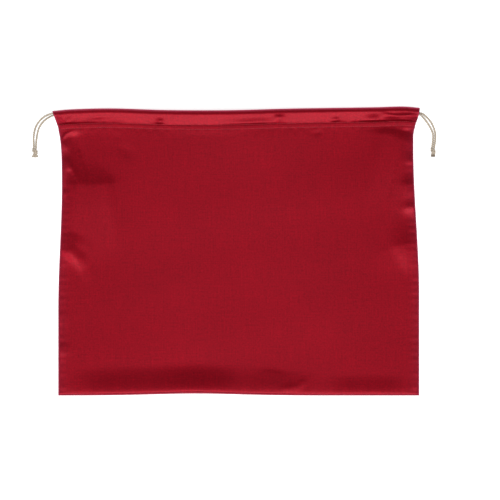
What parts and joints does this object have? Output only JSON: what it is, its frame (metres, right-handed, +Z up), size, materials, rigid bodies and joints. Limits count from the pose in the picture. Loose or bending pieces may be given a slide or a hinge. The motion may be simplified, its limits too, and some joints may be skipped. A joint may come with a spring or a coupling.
{
  "type": "drawstring dust bag",
  "caption": "Flat satin dust bag lying on its back panel, with a stitched tunnel round its mouth and knotted twisted cotton drawcords out of both top corners.",
  "frame": {"origin": "on the surface that the bag lies on, under the middle of the bag's outline", "axes": "+X to the bag's right as it lies, along its width; +Y towards the mouth; +Z up, out of the front panel"},
  "size_m": [0.5505, 0.3933, 0.0138],
  "materials": {
    "satin": "burgundy satin weave with a soft sheen",
    "cotton_cord": "cream twisted cotton, matt"
  },
  "bodies": {
    "root": {"front_panel": "satin", "back_panel": "satin", "left_drawcord": "cotton_cord", "right_drawcord": "cotton_cord", "left_knot": "cotton_cord", "right_knot": "cotton_cord"}
  },
  "joints": []
}
